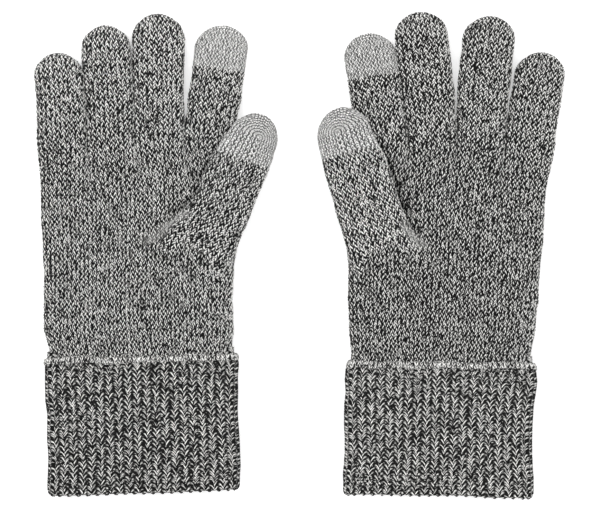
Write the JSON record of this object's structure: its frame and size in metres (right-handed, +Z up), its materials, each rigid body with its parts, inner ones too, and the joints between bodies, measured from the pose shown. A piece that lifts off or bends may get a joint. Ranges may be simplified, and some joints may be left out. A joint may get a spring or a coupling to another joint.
{
  "type": "touchscreen gloves",
  "caption": "Pair of marled grey knit touchscreen gloves with light conductive index and thumb tips and turned-back ribbed cuffs, lying flat palm side up.",
  "frame": {"origin": "centre of the pair's bounding box, on the surface the gloves lie on", "axes": "+Z up, out of the palms; +Y towards the fingertips; +X towards the left-hand glove"},
  "size_m": [0.2768, 0.254, 0.0194],
  "materials": {
    "marl_knit": "matte",
    "rib_knit": "matte",
    "touch_yarn": "matte"
  },
  "bodies": {
    "right_glove": {"right_hand": "marl_knit", "right_wrist_rib": "rib_knit"},
    "left_glove": {"left_hand": "marl_knit", "left_wrist_rib": "rib_knit"},
    "right_little_low": {"right_little_proximal": "marl_knit"},
    "right_little_high": {"right_little_distal": "marl_knit"},
    "right_ring_low": {"right_ring_proximal": "marl_knit"},
    "right_ring_high": {"right_ring_distal": "marl_knit"},
    "right_middle_low": {"right_middle_proximal": "marl_knit"},
    "right_middle_high": {"right_middle_distal": "marl_knit"},
    "right_index_low": {"right_index_proximal": "marl_knit"},
    "right_index_high": {"right_index_distal": "marl_knit", "right_index_touch_tip": "touch_yarn"},
    "right_thumb_low": {"right_thumb_base": "marl_knit"},
    "right_thumb_high": {"right_thumb_end": "marl_knit", "right_thumb_touch_tip": "touch_yarn"},
    "right_cuff": {"right_turned_cuff": "rib_knit", "right_cuff_hem": "rib_knit"},
    "left_index_low": {"left_index_proximal": "marl_knit"},
    "left_index_high": {"left_index_distal": "marl_knit", "left_index_touch_tip": "touch_yarn"},
    "left_middle_low": {"left_middle_proximal": "marl_knit"},
    "left_middle_high": {"left_middle_distal": "marl_knit"},
    "left_ring_low": {"left_ring_proximal": "marl_knit"},
    "left_ring_high": {"left_ring_distal": "marl_knit"},
    "left_little_low": {"left_little_proximal": "marl_knit"},
    "left_little_high": {"left_little_distal": "marl_knit"},
    "left_thumb_low": {"left_thumb_base": "marl_knit"},
    "left_thumb_high": {"left_thumb_end": "marl_knit", "left_thumb_touch_tip": "touch_yarn"},
    "left_cuff": {"left_turned_cuff": "rib_knit", "left_cuff_hem": "rib_knit"}
  },
  "joints": [
    {"name": "right_little_knuckle", "type": "hinge", "parent": "right_glove", "child": "right_little_low", "pos_m": [-0.12447, 0.06569, 0.01], "axis": [1, 0, 0], "range_deg": [0, 90]},
    {"name": "right_little_bend", "type": "hinge", "parent": "right_little_low", "child": "right_little_high", "pos_m": [-0.12558, 0.08349, 0.01], "axis": [1, 0, 0], "range_deg": [0, 90]},
    {"name": "right_ring_knuckle", "type": "hinge", "parent": "right_glove", "child": "right_ring_low", "pos_m": [-0.09895, 0.06807, 0.01], "axis": [1, 0, 0], "range_deg": [0, 90]},
    {"name": "right_ring_bend", "type": "hinge", "parent": "right_ring_low", "child": "right_ring_high", "pos_m": [-0.1, 0.09239, 0.01], "axis": [1, 0, 0], "range_deg": [0, 90]},
    {"name": "right_middle_knuckle", "type": "hinge", "parent": "right_glove", "child": "right_middle_low", "pos_m": [-0.07312, 0.07017, 0.01], "axis": [1, 0, 0], "range_deg": [0, 90]},
    {"name": "right_middle_bend", "type": "hinge", "parent": "right_middle_low", "child": "right_middle_high", "pos_m": [-0.07335, 0.09714, 0.01], "axis": [1, 0, 0], "range_deg": [0, 90]},
    {"name": "right_index_knuckle", "type": "hinge", "parent": "right_glove", "child": "right_index_low", "pos_m": [-0.04504, 0.0758, 0.01], "axis": [1, 0, 0], "range_deg": [0, 90]},
    {"name": "right_index_bend", "type": "hinge", "parent": "right_index_low", "child": "right_index_high", "pos_m": [-0.04301, 0.09159, 0.01], "axis": [1, 0, 0], "range_deg": [0, 90]},
    {"name": "right_thumb_root", "type": "hinge", "parent": "right_glove", "child": "right_thumb_low", "pos_m": [-0.04682, 0.0105, 0.0194], "axis": [0.9038, -0.428, 0], "range_deg": [0, 60]},
    {"name": "right_thumb_bend", "type": "hinge", "parent": "right_thumb_low", "child": "right_thumb_high", "pos_m": [-0.03483, 0.03581, 0.0194], "axis": [0.9038, -0.428, 0], "range_deg": [0, 70]},
    {"name": "right_cuff_unroll", "type": "slide", "parent": "right_glove", "child": "right_cuff", "axis": [0.0182, -0.9998, 0], "range_m": [0, 0.066]},
    {"name": "left_index_knuckle", "type": "hinge", "parent": "left_glove", "child": "left_index_low", "pos_m": [0.0422, 0.075, 0.01], "axis": [1, 0, 0], "range_deg": [0, 90]},
    {"name": "left_index_bend", "type": "hinge", "parent": "left_index_low", "child": "left_index_high", "pos_m": [0.04015, 0.08937, 0.01], "axis": [1, 0, 0], "range_deg": [0, 90]},
    {"name": "left_middle_knuckle", "type": "hinge", "parent": "left_glove", "child": "left_middle_low", "pos_m": [0.06928, 0.07066, 0.01], "axis": [1, 0, 0], "range_deg": [0, 90]},
    {"name": "left_middle_bend", "type": "hinge", "parent": "left_middle_low", "child": "left_middle_high", "pos_m": [0.06677, 0.09766, 0.01], "axis": [1, 0, 0], "range_deg": [0, 90]},
    {"name": "left_ring_knuckle", "type": "hinge", "parent": "left_glove", "child": "left_ring_low", "pos_m": [0.09648, 0.06805, 0.01], "axis": [1, 0, 0], "range_deg": [0, 90]},
    {"name": "left_ring_bend", "type": "hinge", "parent": "left_ring_low", "child": "left_ring_high", "pos_m": [0.09876, 0.09531, 0.01], "axis": [1, 0, 0], "range_deg": [0, 90]},
    {"name": "left_little_knuckle", "type": "hinge", "parent": "left_glove", "child": "left_little_low", "pos_m": [0.1225, 0.06487, 0.01], "axis": [1, 0, 0], "range_deg": [0, 90]},
    {"name": "left_little_bend", "type": "hinge", "parent": "left_little_low", "child": "left_little_high", "pos_m": [0.12504, 0.08382, 0.01], "axis": [1, 0, 0], "range_deg": [0, 90]},
    {"name": "left_thumb_root", "type": "hinge", "parent": "left_glove", "child": "left_thumb_low", "pos_m": [0.04026, 0.01202, 0.0194], "axis": [0.9626, 0.271, 0], "range_deg": [0, 60]},
    {"name": "left_thumb_bend", "type": "hinge", "parent": "left_thumb_low", "child": "left_thumb_high", "pos_m": [0.03267, 0.03897, 0.0194], "axis": [0.9626, 0.271, 0], "range_deg": [0, 70]},
    {"name": "left_cuff_unroll", "type": "slide", "parent": "left_glove", "child": "left_cuff", "axis": [-0.025, -0.9997, 0], "range_m": [0, 0.066]},
    {"name": "left_glove_lift", "type": "slide", "parent": "right_glove", "child": "left_glove", "axis": [0, 0, 1], "range_m": [0, 0.06]}
  ]
}
